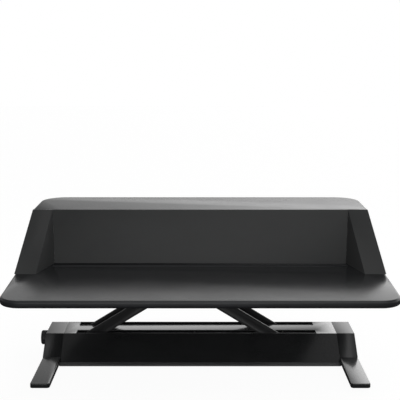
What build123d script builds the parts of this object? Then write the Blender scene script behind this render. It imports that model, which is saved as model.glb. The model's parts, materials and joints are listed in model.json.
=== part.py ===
"""Standing desk converter: a scissor lift in a low base carries a worktop with a raised monitor shelf.

Millimetres. X runs to the right, Y to the back and Z up, with the origin on the desk under the middle
of the footprint. The lift stands part way up. Each piece is written to parts/ under its own name.
"""
from build123d import *
import math
import os

# ---- Driving dimensions -------------------------------------------------------------------------
# Platform: worktop in front, raised monitor shelf behind, one step between them
OVERALL_WIDTH = 832.0
OVERALL_DEPTH = 616.0
FRONT_WIDTH = 820.0
STEP_HEIGHT = 107.0
WORKTOP_THICK = 16.0
WORKTOP_CORNER = 46.0
WORKTOP_NOSE = 6.0
WORKTOP_WING_BACK_Y = -60.0
WORKTOP_BACK_Y = 30.0
SHELF_THICK = 16.0
SHELF_WIDTH = 818.0
SHELF_CORNER = 60.0
SHELF_NOSE = 2.5
EDGE_BAND = 2.5
SEAM = 0.6
SHEET = 3.0
APRON_DEPTH = 36.0
APRON_BACK_Y = 236.0

# Step: leaning riser panel between two sloping pillars
RISER_THICK = 4.0
RISER_FOOT_Y = 14.5
RISER_TOP_Y = 122.0
RISER_FOOT_WIDTH = 682.0
PILLAR_FOOT_Y = -90.0
RECESS_FRONT_WIDTH = 736.0
RECESS_TOP_WIDTH = 722.0

# Device slot in front of the riser panel
SLOT_LIP = 17.0
SLOT_GAP = 20.0
SLOT_DEPTH = 9.0
SLOT_LINER = 1.5
SLOT_LIP_RISE = 1.2
SLOT_LIP_SLOPE = 3.0
SLOT_LIP_EDGE = 0.5

# Scissor lift
ARM_LENGTH = 583.0
ARM_DEPTH = 28.0
ARM_THICK = 6.0
REST_ANGLE = 31.7
LOW_ANGLE = 7.2
HIGH_ANGLE = 60.0
LIFT_Y = 175.0
INNER_ARM_Y = 29.0
OUTER_ARM_Y = 39.0
LOWER_PIVOT_X = -292.0
LOWER_PIVOT_Z = 34.0
HEADROOM = 15.25
SHAFT_R = 5.0
BUSH_WALL = 2.0
RUNNING_GAP = 0.05
CENTRE_SHAFT_R = 6.0
CROSS_TUBE_R = 8.0
CROSS_TUBE_WALL = 2.0
CROSS_TUBE_AT = 480.0
ROLLER_R = 11.0
ROLLER_WIDTH = 8.0
ROLLER_GAP = 0.3
ROLLER_GROOVE = 0.8
ROLLER_RIM = 2.5
LOWER_ROLLER_OUT = 20.0
WEB_GAP = 0.4
EAR_GAP = 0.8
EAR_R = 12.0
SHAFT_END = 2.5
CLIP_THICK = 1.2
CLIP_R = 9.0
CLIP_GAP = 0.5

# Base
BASE_HALF = 342.0
BASE_FRONT_Y = 57.0
BASE_TOP_FRONT_Y = 127.0
BASE_TOP_BACK_Y = 224.0
BASE_BACK_Y = 232.0
BASE_TOP_Z = 56.0
COVER_SHEET = 2.0
PLATE_BOTTOM_Z = 2.0
PLATE_THICK = 3.0
PLATE_LIP_Y = 38.0
SLOT_INNER = 23.5
SLOT_OUTER = 44.5
SLOT_END_GAP = 4.0
SLOT_LEFT_SPARE = 14.0
SLOT_TRIM_WALL = 1.0
SLOT_TRIM_RISE = 1.0
CAP_WIDTH = 44.5
CAP_WALL = 2.5
FOOT_FRONT_Y = -107.0
FOOT_BACK_Y = 288.0
FOOT_THICK = 10.0
PAD_THICK = 3.0
PAD_LENGTH = 46.0
PAD_WIDTH = 34.0
RAIL_SHEET = 2.0
RAIL_END_LEFT = 5.0
RAIL_END_RIGHT = 6.0
RAIL_FLANGE = 14.0

# Lift springs and their tension screw
SPRING_Y = 15.0
SPRING_Z = 13.0
SPRING_R = 5.0
SPRING_WIRE = 1.3
SPRING_HOOK = 14.0
HOOK_BAR_R = 2.0
HOOK_GAP = 0.4
HOOK_BAR_END = 3.0
YOKE_HALF = 4.0
SCREW_Z = 30.0
SCREW_R = 4.0
THREAD_GAP = 0.3
NUT_X = -325.0
NUT_LENGTH = 12.0
KNOB_R = 18.0
KNOB_LENGTH = 18.0
KNOB_GAP = 0.8
KNOB_BORE = 12.0
KNOB_FLUTES = 18
FLUTE_R = 1.6

# Lock: brake shoe on a release rod behind the riser panel, worked by two squeeze paddles
ROD_BEHIND = 10.46
ROD_DROP = 12.0
ROD_R = 4.0
PADDLE_X = 386.0
PADDLE_WIDTH = 26.0
PADDLE_THICK = 7.0
PADDLE_TIP_Y = 28.0
PADDLE_DROP = 50.0
PADDLE_WALL = 3.0
HUB_WALL = 3.0
SECTOR_THICK = 4.0
SECTOR_OUTER = 46.0
SECTOR_INNER = 26.0
SECTOR_SPARE = 9.0
BRAKE_ANGLE = 45.0
SHOE_THICK = 4.0
SHOE_SIZE = 12.0
BRAKE_GAP = 0.3

# Brackets and fasteners
BRACKET_X = 325.0
BRACKET_FLANGE = 13.0
BRACKET_DEPTH = 28.0
BRACKET_BACK_Y = 276.0
BRACKET_TOE_Y = -218.0
BRACKET_HEEL_Y = -10.0
BEARING_SPARE = 8.0
CROSSBAR_Y = 254.0
CROSSBAR_LEG = 20.0
SCREW_HEAD_R = 4.0
SCREW_HEAD = 2.2
SCREW_SHANK_R = 1.9
SCREW_SHANK = 9.0
SCREW_BRACKET_HALF = 16.0

# ---- Values that follow from them ---------------------------------------------------------------
REST = math.radians(REST_ANGLE)
RISE = ARM_LENGTH * math.sin(REST)
REACH = ARM_LENGTH * math.cos(REST)
RIGHT_PIVOT_X = LOWER_PIVOT_X + REACH
UPPER_PIVOT_Z = LOWER_PIVOT_Z + RISE
CENTRE_X = LOWER_PIVOT_X + REACH / 2
CENTRE_Z = LOWER_PIVOT_Z + RISE / 2
TRAVEL_LOW_X = LOWER_PIVOT_X + ARM_LENGTH * math.cos(math.radians(LOW_ANGLE))
TRAVEL_HIGH_X = LOWER_PIVOT_X + ARM_LENGTH * math.cos(math.radians(HIGH_ANGLE))
ARM_HALF = ARM_THICK / 2
SHELF_UNDER_Z = UPPER_PIVOT_Z + HEADROOM
SHELF_TOP_Z = SHELF_UNDER_Z + SHELF_THICK
WORKTOP_Z = SHELF_TOP_Z - STEP_HEIGHT
WORKTOP_UNDER_Z = WORKTOP_Z - WORKTOP_THICK
FRONT_Y = -OVERALL_DEPTH / 2
BACK_Y = OVERALL_DEPTH / 2
PLATE_TOP_Z = PLATE_BOTTOM_Z + PLATE_THICK
FOOT_TOP_Z = PAD_THICK + FOOT_THICK
RISER_LEAN = math.atan2(RISER_TOP_Y - RISER_FOOT_Y, STEP_HEIGHT)
RISER_TOP_RUN = RISER_THICK / math.cos(RISER_LEAN)
PILLAR_TOP_Y = RISER_TOP_Y
PILLAR_LEAN = math.atan2(STEP_HEIGHT, PILLAR_TOP_Y - PILLAR_FOOT_Y)
PILLAR_TOP_RUN = SHEET / math.sin(PILLAR_LEAN)
ROD_Z = SHELF_UNDER_Z - ROD_DROP
ROD_Y = RISER_FOOT_Y + RISER_TOP_RUN + (ROD_Z - WORKTOP_Z) * math.tan(RISER_LEAN) + ROD_BEHIND
ROD_END_X = PADDLE_X + PADDLE_WIDTH / 2 - PADDLE_WALL
SLOT_FRONT_Y = RISER_FOOT_Y - SLOT_GAP - SLOT_LINER
SLOT_LIP_Y = SLOT_FRONT_Y - SLOT_LIP + SLOT_LINER
LOWER_EAR_IN = INNER_ARM_Y + ARM_HALF + EAR_GAP
LOWER_EAR_OUT = LOWER_EAR_IN + SHEET
UPPER_WEB_OUT = OUTER_ARM_Y + ROLLER_WIDTH / 2 + 1.0
KNOB_INNER_X = -BASE_HALF - CAP_WIDTH - KNOB_GAP
RAIL_X0 = TRAVEL_HIGH_X - ROLLER_R - RAIL_END_LEFT
RAIL_X1 = TRAVEL_LOW_X + ROLLER_R + RAIL_END_RIGHT


# ---- Small builders -----------------------------------------------------------------------------
def block(x0, x1, y0, y1, z0, z1):
    """A box between two corners."""
    centre = Pos((x0 + x1) / 2, (y0 + y1) / 2, (z0 + z1) / 2)
    return centre * Box(x1 - x0, y1 - y0, z1 - z0)


def rod_y(x, z, radius, y0, y1):
    """A round bar along Y."""
    return Pos(x, (y0 + y1) / 2, z) * Rot(90, 0, 0) * Cylinder(radius, y1 - y0)


def rod_x(y, z, radius, x0, x1):
    """A round bar along X."""
    return Pos((x0 + x1) / 2, y, z) * Rot(0, 90, 0) * Cylinder(radius, x1 - x0)


def rod_z(x, y, radius, z0, z1):
    """A round bar along Z."""
    return Pos(x, y, (z0 + z1) / 2) * Cylinder(radius, z1 - z0)


def ring_y(x, z, inner, outer, y0, y1):
    """A ring or sleeve along Y."""
    return rod_y(x, z, outer, y0, y1) - rod_y(x, z, inner, y0 - 1, y1 + 1)


def side_profile(points, x0, x1):
    """A closed outline of (Y, Z) points, drawn out along X."""
    face = Plane.YZ * make_face(Polyline(*points, close=True))
    return Pos(x0, 0, 0) * extrude(face, amount=x1 - x0)


def sheet_plate(points, inward, thick):
    """A flat plate on a polygon in space, thickened towards the given direction."""
    face = Face(Wire.make_polygon([Vector(*p) for p in points], close=True))
    normal = face.normal_at()
    if normal.dot(Vector(*inward)) < 0:
        normal = normal * -1
    return extrude(face, amount=thick, dir=normal)


def flip_x(piece):
    """The mirror image on the other side, left to right."""
    return mirror(piece, about=Plane.YZ)


def flip_lift(piece):
    """The mirror image across the lift's middle plane, front to rear."""
    return mirror(piece, about=Plane(origin=(0, LIFT_Y, 0), x_dir=(1, 0, 0), z_dir=(0, 1, 0)))


def both_sides(piece):
    """A piece and its front-to-rear twin, as two solids."""
    return [piece, flip_lift(piece)]


def solids_of(pieces):
    """Every solid in a list of pieces."""
    return [solid for piece in pieces for solid in piece.solids()]


def group(pieces):
    """Several separate solids as one node."""
    return Compound(children=solids_of(pieces))


def screw(x, y, z, up=True, shank=SCREW_SHANK):
    """A pan-head screw whose head seats at (x, y, z); its shank points up, or down if up is False."""
    sign = 1 if up else -1
    low, high = sorted((z - sign * SCREW_HEAD, z))
    head = rod_z(x, y, SCREW_HEAD_R, low, high)
    low, high = sorted((z, z + sign * shank))
    return head + rod_z(x, y, SCREW_SHANK_R, low, high)


def cut_all(piece, tools):
    """A piece with every tool's volume taken out."""
    for tool in tools:
        piece = piece - tool
    return piece


# ---- Platform -----------------------------------------------------------------------------------
def worktop_outline(inset):
    """The worktop's plan, with its front and sides moved in by inset."""
    half_front = FRONT_WIDTH / 2 - inset
    half_back = OVERALL_WIDTH / 2 - inset
    front = FRONT_Y + inset
    wing = WORKTOP_WING_BACK_Y
    right = [
        (half_front, front),
        (half_back, PILLAR_FOOT_Y),
        (half_back - 3.0, wing),
        (RECESS_FRONT_WIDTH / 2 + 6.0, wing),
        (RISER_FOOT_WIDTH / 2 + 8.0, WORKTOP_BACK_Y),
    ]
    left = [(-x, y) for x, y in reversed(right)]
    plan = make_face(Polyline(*right, *left, close=True))
    corners = plan.vertices().group_by(Axis.Y)[0]
    return fillet(corners, WORKTOP_CORNER - inset)


def make_foot_seam():
    """Fine shadow groove in the worktop along the front of the pillars and of the device slot's lip."""
    right = [
        (RISER_FOOT_WIDTH / 2, SLOT_LIP_Y),
        (RISER_FOOT_WIDTH / 2, RISER_FOOT_Y),
        (RECESS_FRONT_WIDTH / 2, PILLAR_FOOT_Y),
        (OVERALL_WIDTH / 2 + SHEET, PILLAR_FOOT_Y),
        (OVERALL_WIDTH / 2 + SHEET, WORKTOP_BACK_Y + SHEET),
    ]
    left = [(-x, y) for x, y in reversed(right)]
    covered = make_face(Polyline(*right, *left, close=True))
    ring = offset(covered, SEAM, kind=Kind.INTERSECTION) - covered
    return Pos(0, 0, WORKTOP_Z - SEAM) * extrude(ring, amount=SEAM + 1)


def make_worktop():
    """The board and its edge band, with a groove cut for the device slot and a seam along the step."""
    board = Pos(0, 0, WORKTOP_UNDER_Z) * extrude(worktop_outline(0), amount=WORKTOP_THICK)
    rim = [edge for edge in board.edges() if edge.center().Y < PILLAR_FOOT_Y + 5
           and abs(edge.center().Z - WORKTOP_Z + WORKTOP_THICK / 2) > WORKTOP_THICK / 2 - 0.1]
    board = fillet(rim, WORKTOP_NOSE)
    core = Pos(0, 0, WORKTOP_UNDER_Z - 1) * extrude(worktop_outline(EDGE_BAND), amount=WORKTOP_THICK + 2)
    groove = block(-RISER_FOOT_WIDTH / 2, RISER_FOOT_WIDTH / 2, SLOT_FRONT_Y, RISER_FOOT_Y,
                   WORKTOP_Z - SLOT_DEPTH - SLOT_LINER, WORKTOP_Z + 1)
    seam = make_foot_seam()
    return (board & core) - groove - seam, board - core - seam


def make_slot_insert():
    """Moulded liner of the device slot with a raised front lip."""
    half = RISER_FOOT_WIDTH / 2
    back = RISER_FOOT_Y
    front = SLOT_FRONT_Y
    floor = WORKTOP_Z - SLOT_DEPTH
    outline = [
        (SLOT_LIP_Y, WORKTOP_Z),
        (SLOT_LIP_Y + SLOT_LIP_SLOPE, WORKTOP_Z + SLOT_LIP_RISE),
        (front + SLOT_LINER - SLOT_LIP_EDGE, WORKTOP_Z + SLOT_LIP_RISE),
        (front + SLOT_LINER, WORKTOP_Z + SLOT_LIP_RISE - SLOT_LIP_EDGE),
        (front + SLOT_LINER, floor),
        (back - SLOT_LINER, floor),
        (back - SLOT_LINER, WORKTOP_Z),
        (back, WORKTOP_Z),
        (back, floor - SLOT_LINER),
        (front, floor - SLOT_LINER),
        (front, WORKTOP_Z),
    ]
    return side_profile(outline, -half, half)


def between(low, high, share):
    """The point a share of the way from low to high; a share over 1 lies beyond high."""
    return tuple(a + share * (b - a) for a, b in zip(low, high))


def make_pillar():
    """Right-hand pillar: sloping face, triangular wall beside the recess and outer apron."""
    foot_in = (RECESS_FRONT_WIDTH / 2, PILLAR_FOOT_Y, WORKTOP_Z)
    foot_out = (OVERALL_WIDTH / 2, PILLAR_FOOT_Y, WORKTOP_Z)
    top_in = (RECESS_TOP_WIDTH / 2, PILLAR_TOP_Y, SHELF_TOP_Z)
    top_out = (SHELF_WIDTH / 2, PILLAR_TOP_Y, SHELF_TOP_Z)
    riser_foot = (RISER_FOOT_WIDTH / 2, RISER_FOOT_Y, WORKTOP_Z)
    past = 1.0 + PILLAR_TOP_RUN / (PILLAR_TOP_Y - PILLAR_FOOT_Y)
    face = sheet_plate([foot_in, foot_out, between(foot_out, top_out, past), between(foot_in, top_in, past)],
                       (0, 1, -2), SHEET)
    wall = sheet_plate([foot_in, top_in, riser_foot], (1, 0, 0), SHEET)
    low_out = between(foot_out, top_out, 2 * APRON_DEPTH / (PILLAR_TOP_Y - PILLAR_FOOT_Y))
    low_out = (low_out[0], low_out[1], WORKTOP_Z)
    low_top = (SHELF_WIDTH / 2, PILLAR_TOP_Y, SHELF_TOP_Z - APRON_DEPTH)
    apron = sheet_plate([foot_out, top_out, low_top, low_out], (-1, 0, 0), SHEET)
    tail_front = PILLAR_TOP_Y - 2.0
    tail = side_profile([(tail_front, SHELF_TOP_Z - APRON_DEPTH), (APRON_BACK_Y, SHELF_UNDER_Z),
                         (tail_front, SHELF_UNDER_Z)], SHELF_WIDTH / 2 - SHEET, SHELF_WIDTH / 2)
    keep = block(0, OVERALL_WIDTH / 2, PILLAR_FOOT_Y, PILLAR_TOP_Y + PILLAR_TOP_RUN, WORKTOP_Z, SHELF_TOP_Z)
    return ((face + wall + apron) & keep) + tail


def make_riser(pillars):
    """The leaning panel between the pillars, cut level along its foot and its top."""
    foot = (RISER_FOOT_WIDTH / 2, RISER_FOOT_Y, WORKTOP_Z)
    top = (RECESS_TOP_WIDTH / 2, RISER_TOP_Y, SHELF_TOP_Z)
    low_x, low_y, low_z = between(foot, top, -0.1)
    high_x, high_y, high_z = between(foot, top, 1.1)
    quad = [(-low_x, low_y, low_z), (low_x, low_y, low_z),
            (high_x, high_y, high_z), (-high_x, high_y, high_z)]
    panel = sheet_plate(quad, (0, 1, -1), RISER_THICK)
    keep = block(-OVERALL_WIDTH, OVERALL_WIDTH, FRONT_Y, BACK_Y, WORKTOP_Z, SHELF_TOP_Z)
    panel = cut_all(panel & keep, pillars)
    return max(panel.solids(), key=lambda solid: solid.volume)


def shelf_outline(inset):
    """The monitor shelf's plan, with its sides and back moved in by inset."""
    half = SHELF_WIDTH / 2 - inset
    back = BACK_Y - inset
    front = RISER_TOP_Y + RISER_TOP_RUN - SHELF_THICK * math.tan(RISER_LEAN)
    plan = make_face(Polyline((-half, front), (half, front), (half, back), (-half, back), close=True))
    corners = plan.vertices().group_by(Axis.Y)[-1]
    return fillet(corners, SHELF_CORNER - inset)


def make_shelf():
    """The shelf board with a front edge cut parallel to the riser panel, and its edge band."""
    board = Pos(0, 0, SHELF_UNDER_Z) * extrude(shelf_outline(0), amount=SHELF_THICK)
    rim = [edge for edge in board.edges() if edge.center().Y > PILLAR_TOP_Y
           and abs(edge.center().Z - SHELF_TOP_Z) < 0.1]
    board = fillet(rim, SHELF_NOSE)
    behind = side_profile([
        (riser_back(SHELF_TOP_Z), SHELF_TOP_Z + 0.5),
        (BACK_Y + 1, SHELF_TOP_Z + 0.5),
        (BACK_Y + 1, SHELF_UNDER_Z - 1),
        (riser_back(SHELF_UNDER_Z), SHELF_UNDER_Z - 1),
        (riser_back(SHELF_UNDER_Z), SHELF_UNDER_Z),
        (riser_back(SHELF_TOP_Z), SHELF_TOP_Z),
    ], -OVERALL_WIDTH, OVERALL_WIDTH)
    side = block(-OVERALL_WIDTH, OVERALL_WIDTH, PILLAR_TOP_Y + PILLAR_TOP_RUN, BACK_Y + 1,
                 SHELF_UNDER_Z - 1, SHELF_TOP_Z + 1)
    middle = block(-RISER_FOOT_WIDTH / 2, RISER_FOOT_WIDTH / 2, 0, BACK_Y + 1, SHELF_UNDER_Z - 1,
                   SHELF_TOP_Z + 1)
    board = board & behind & (side + middle)
    core = Pos(0, 0, SHELF_UNDER_Z - 1) * extrude(shelf_outline(EDGE_BAND), amount=SHELF_THICK + 2)
    return board & core, board - core


def riser_back(z):
    """How far back the riser panel's hidden face is at height z."""
    return RISER_FOOT_Y + RISER_TOP_RUN + (z - WORKTOP_Z) * math.tan(RISER_LEAN)


def make_support_bracket():
    """Right-hand pressed bracket: web with flanges under the shelf and under the worktop."""
    x0 = BRACKET_X
    x1 = BRACKET_X + SHEET
    under = SHELF_UNDER_Z
    low = WORKTOP_UNDER_Z
    shoulder = under - 10.0
    behind_worktop = WORKTOP_BACK_Y + 2.0
    web = side_profile([
        (riser_back(shoulder) + 0.5, shoulder),
        (ROD_Y + BEARING_SPARE, under),
        (BRACKET_BACK_Y, under),
        (BRACKET_BACK_Y, under - 0.4 * BRACKET_DEPTH),
        (PILLAR_TOP_Y + 20.0, under - BRACKET_DEPTH),
        (behind_worktop + 2.0, low - SHEET),
        (BRACKET_HEEL_Y, low - SHEET),
        (BRACKET_HEEL_Y, low),
        (behind_worktop, low),
        (behind_worktop, low + WORKTOP_THICK / 2),
    ], x0, x1)
    top_flange = block(x0 - BRACKET_FLANGE, x1, ROD_Y + BEARING_SPARE, BRACKET_BACK_Y, under - SHEET, under)
    low_flange = block(x0 - BRACKET_FLANGE, x1, BRACKET_TOE_Y, WORKTOP_BACK_Y, low - SHEET, low)
    bearing = rod_x(ROD_Y, ROD_Z, ROD_R + RUNNING_GAP, x0 - SHEET, x1 + SHEET)
    return web + top_flange + low_flange - bearing


def make_rear_crossbar():
    """Angle bar under the back of the shelf, between the two support brackets."""
    x = BRACKET_X - BRACKET_FLANGE - 2.0
    y = CROSSBAR_Y
    top = block(-x, x, y, y + CROSSBAR_LEG, SHELF_UNDER_Z - RAIL_SHEET, SHELF_UNDER_Z)
    return top + block(-x, x, y, y + RAIL_SHEET, SHELF_UNDER_Z - CROSSBAR_LEG, SHELF_UNDER_Z)


def make_upper_rail():
    """Front channel that the upper rollers run in; its top flange screws to the shelf."""
    web_y = LIFT_Y - UPPER_WEB_OUT
    floor = UPPER_PIVOT_Z - ROLLER_R - ROLLER_GAP
    low = floor - RAIL_SHEET
    web = block(RAIL_X0, RAIL_X1, web_y - RAIL_SHEET, web_y, low, SHELF_UNDER_Z)
    track = block(RAIL_X0, RAIL_X1, web_y - RAIL_SHEET, web_y + ROLLER_WIDTH + RAIL_SHEET, low, floor)
    flange = block(RAIL_X0, RAIL_X1, web_y - RAIL_FLANGE, web_y, SHELF_UNDER_Z - RAIL_SHEET, SHELF_UNDER_Z)
    return web + track + flange


def make_upper_pivot_bracket():
    """Front ear that carries the fixed upper pivot, with a flange under the shelf."""
    y1 = LIFT_Y - INNER_ARM_Y - ARM_HALF - 0.6
    y0 = LIFT_Y - OUTER_ARM_Y + ARM_HALF + 0.4
    x0 = LOWER_PIVOT_X - 15.0
    x1 = LOWER_PIVOT_X + 15.0
    ear = block(x0, x1, y0, y1, UPPER_PIVOT_Z, SHELF_UNDER_Z)
    ear = ear + rod_y(LOWER_PIVOT_X, UPPER_PIVOT_Z, EAR_R, y0, y1)
    flange = block(x0 - 4.0, x1 + 4.0, y0, y1 + 16.0, SHELF_UNDER_Z - RAIL_SHEET, SHELF_UNDER_Z)
    return ear + flange - rod_y(LOWER_PIVOT_X, UPPER_PIVOT_Z, SHAFT_R, y0 - 1, y1 + 1)


def platform_screw_points():
    """Where the heads of the platform's screws seat, all driven from below: (x, y, z)."""
    points = []
    under = SHELF_UNDER_Z - RAIL_SHEET
    flange_y = UPPER_WEB_OUT + RAIL_FLANGE - SCREW_HEAD_R - 1.0
    for sign in (-1, 1):
        for x in (TRAVEL_HIGH_X, (TRAVEL_HIGH_X + TRAVEL_LOW_X) / 2, TRAVEL_LOW_X):
            points.append((x, LIFT_Y + sign * flange_y, under))
        for x in (LOWER_PIVOT_X - 10.0, LOWER_PIVOT_X + 10.0):
            points.append((x, LIFT_Y + sign * (INNER_ARM_Y - 9.0), under))
    for sign in (-1, 1):
        x = sign * (BRACKET_X - BRACKET_FLANGE / 2)
        for y in (PILLAR_TOP_Y + 14.0, APRON_BACK_Y - 20.0):
            points.append((x, y, SHELF_UNDER_Z - SHEET))
        for y in (BRACKET_TOE_Y + 14.0, BRACKET_TOE_Y + 90.0, BRACKET_HEEL_Y - 2.0):
            points.append((x, y, WORKTOP_UNDER_Z - SHEET))
    for x in (-200.0, 0.0, 200.0):
        points.append((x, CROSSBAR_Y + CROSSBAR_LEG - 7.0, under))
    return points


def make_platform():
    """Everything that rises with the worktop."""
    worktop, worktop_edge = make_worktop()
    insert = make_slot_insert()
    shelf, shelf_edge = make_shelf()
    right_pillar = make_pillar()
    left_pillar = flip_x(right_pillar)
    riser = make_riser([left_pillar, right_pillar])
    right_bracket = make_support_bracket()
    left_bracket = flip_x(right_bracket)
    rails = both_sides(make_upper_rail())
    pivots = both_sides(make_upper_pivot_bracket())
    crossbar = make_rear_crossbar()
    screws = [screw(x, y, z) for x, y, z in platform_screw_points()]
    shaft_half = OUTER_ARM_Y + ARM_HALF + SHAFT_END
    shaft = rod_y(LOWER_PIVOT_X, UPPER_PIVOT_Z, SHAFT_R, LIFT_Y - shaft_half, LIFT_Y + shaft_half)
    return {
        "worktop": cut_all(worktop, screws),
        "worktop_edge": worktop_edge,
        "device_slot_insert": insert,
        "riser_panel": riser,
        "pillar_left": left_pillar,
        "pillar_right": right_pillar,
        "monitor_shelf": cut_all(shelf, screws),
        "shelf_edge": shelf_edge,
        "support_bracket_left": cut_all(left_bracket, screws),
        "support_bracket_right": cut_all(right_bracket, screws),
        "rear_crossbar": cut_all(crossbar, screws),
        "upper_rails": group([cut_all(rail, screws) for rail in rails]),
        "upper_pivot_brackets": group([cut_all(pivot, screws) for pivot in pivots]),
        "upper_pivot_shaft": shaft,
        "platform_screws": group(screws),
    }


# ---- Scissor arms -------------------------------------------------------------------------------
def arm_bar(offset, angle, end_r, centre_r):
    """One arm in the front half, leaning by angle about the lift's centre, with its three bores."""
    half = ARM_LENGTH / 2
    bar = Box(ARM_LENGTH, ARM_THICK, ARM_DEPTH)
    for x in (-half, half):
        bar = bar + Pos(x, 0, 0) * Rot(90, 0, 0) * Cylinder(ARM_DEPTH / 2, ARM_THICK)
    rim = [edge for edge in bar.edges() if abs(abs(edge.center().Y) - ARM_HALF) < 0.01]
    bar = fillet(rim, 0.8)
    for x, radius in ((-half, end_r), (0, centre_r), (half, end_r)):
        bar = bar - Pos(x, 0, 0) * Rot(90, 0, 0) * Cylinder(radius, ARM_THICK + 2)
    return Pos(CENTRE_X, LIFT_Y - offset, CENTRE_Z) * Rot(0, -angle, 0) * bar


def bush(x, z, offset, inner):
    """Plain bush pressed into an arm in the front half."""
    y = LIFT_Y - offset
    return ring_y(x, z, inner, inner + BUSH_WALL, y - ARM_HALF, y + ARM_HALF)


def cross_tube(x, z, half):
    """Tube between a pair of arms."""
    return ring_y(x, z, CROSS_TUBE_R - CROSS_TUBE_WALL, CROSS_TUBE_R, LIFT_Y - half, LIFT_Y + half)


def clips(x, z, shaft_r, outer_y):
    """Retaining rings on both ends of a shaft."""
    y = LIFT_Y - outer_y
    return group(both_sides(ring_y(x, z, shaft_r, CLIP_R, y - CLIP_THICK, y)))


def make_inner_arms():
    """The pair hinged at the base's left and rolling under the shelf's right."""
    shaft_inner = SHAFT_R + RUNNING_GAP
    front = arm_bar(INNER_ARM_Y, REST_ANGLE, shaft_inner + BUSH_WALL, CENTRE_SHAFT_R)
    tube = cross_tube(LOWER_PIVOT_X + CROSS_TUBE_AT * math.cos(REST),
                      LOWER_PIVOT_Z + CROSS_TUBE_AT * math.sin(REST), INNER_ARM_Y - ARM_HALF)
    centre_half = OUTER_ARM_Y + ARM_HALF + CLIP_GAP + CLIP_THICK + 1.3
    shaft = rod_y(CENTRE_X, CENTRE_Z, CENTRE_SHAFT_R, LIFT_Y - centre_half, LIFT_Y + centre_half)
    bushes = []
    for x, z in ((LOWER_PIVOT_X, LOWER_PIVOT_Z), (RIGHT_PIVOT_X, UPPER_PIVOT_Z)):
        bushes += both_sides(bush(x, z, INNER_ARM_Y, shaft_inner))
    gap_in = LIFT_Y - INNER_ARM_Y - ARM_HALF
    gap_out = LIFT_Y - OUTER_ARM_Y + ARM_HALF + ROLLER_GAP
    spacer = ring_y(CENTRE_X, CENTRE_Z, CENTRE_SHAFT_R, 11.0, gap_out, gap_in)
    return {
        "inner_arm_front": front,
        "inner_arm_rear": flip_lift(front),
        "inner_cross_tube": tube,
        "centre_pivot_shaft": shaft,
        "centre_pivot_clips": clips(CENTRE_X, CENTRE_Z, CENTRE_SHAFT_R, OUTER_ARM_Y + ARM_HALF + CLIP_GAP),
        "centre_spacers": group(both_sides(spacer)),
        "inner_arm_bushes": group(bushes),
    }


def make_brake_sector():
    """Smooth brake plate on the front outer arm, swept past the shoe as the arm turns under the shelf."""
    y1 = LIFT_Y - OUTER_ARM_Y - ARM_HALF
    y0 = y1 - SECTOR_THICK
    low = HIGH_ANGLE - REST_ANGLE - BRAKE_ANGLE + SECTOR_SPARE
    high = LOW_ANGLE - REST_ANGLE - BRAKE_ANGLE - SECTOR_SPARE
    plate = ring_y(LOWER_PIVOT_X, UPPER_PIVOT_Z, SECTOR_INNER, SECTOR_OUTER, y0, y1)
    far = 2 * SECTOR_OUTER
    angles = [math.radians(angle) for angle in (high, (low + high) / 2, low)]
    fan = [(LOWER_PIVOT_X, UPPER_PIVOT_Z)]
    fan += [(LOWER_PIVOT_X + far * math.cos(a), UPPER_PIVOT_Z + far * math.sin(a)) for a in angles]
    wedge = Pos(0, y1 + 5, 0) * extrude(Plane.XZ * make_face(Polyline(*fan, close=True)), amount=20)
    return plate & wedge


def make_outer_arms():
    """The pair hinged under the shelf's left and rolling in the base's right."""
    shaft_inner = SHAFT_R + RUNNING_GAP
    centre_inner = CENTRE_SHAFT_R + RUNNING_GAP
    front = arm_bar(OUTER_ARM_Y, -REST_ANGLE, shaft_inner + BUSH_WALL, centre_inner + BUSH_WALL)
    tube = cross_tube(RIGHT_PIVOT_X - CROSS_TUBE_AT * math.cos(REST),
                      LOWER_PIVOT_Z + CROSS_TUBE_AT * math.sin(REST), OUTER_ARM_Y - ARM_HALF)
    bushes = both_sides(bush(CENTRE_X, CENTRE_Z, OUTER_ARM_Y, centre_inner))
    for x, z in ((RIGHT_PIVOT_X, LOWER_PIVOT_Z), (LOWER_PIVOT_X, UPPER_PIVOT_Z)):
        bushes += both_sides(bush(x, z, OUTER_ARM_Y, shaft_inner))
    return {
        "outer_arm_front": front,
        "outer_arm_rear": flip_lift(front),
        "outer_cross_tube": tube,
        "outer_arm_bushes": group(bushes),
        "brake_sector": make_brake_sector(),
    }


def roller(x, z, y0):
    """Wheel with a shallow groove in its tread, running on an axle of shaft radius."""
    y1 = y0 + ROLLER_WIDTH
    wheel = ring_y(x, z, SHAFT_R + RUNNING_GAP, ROLLER_R, y0, y1)
    return wheel - ring_y(x, z, ROLLER_R - ROLLER_GROOVE, ROLLER_R + 1, y0 + ROLLER_RIM, y1 - ROLLER_RIM)


def hook_bar(x):
    """Bar that the eyes of both lift springs hook over."""
    half = SPRING_Y + HOOK_BAR_END
    return rod_y(x, SPRING_Z, HOOK_BAR_R, LIFT_Y - half, LIFT_Y + half)


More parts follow.
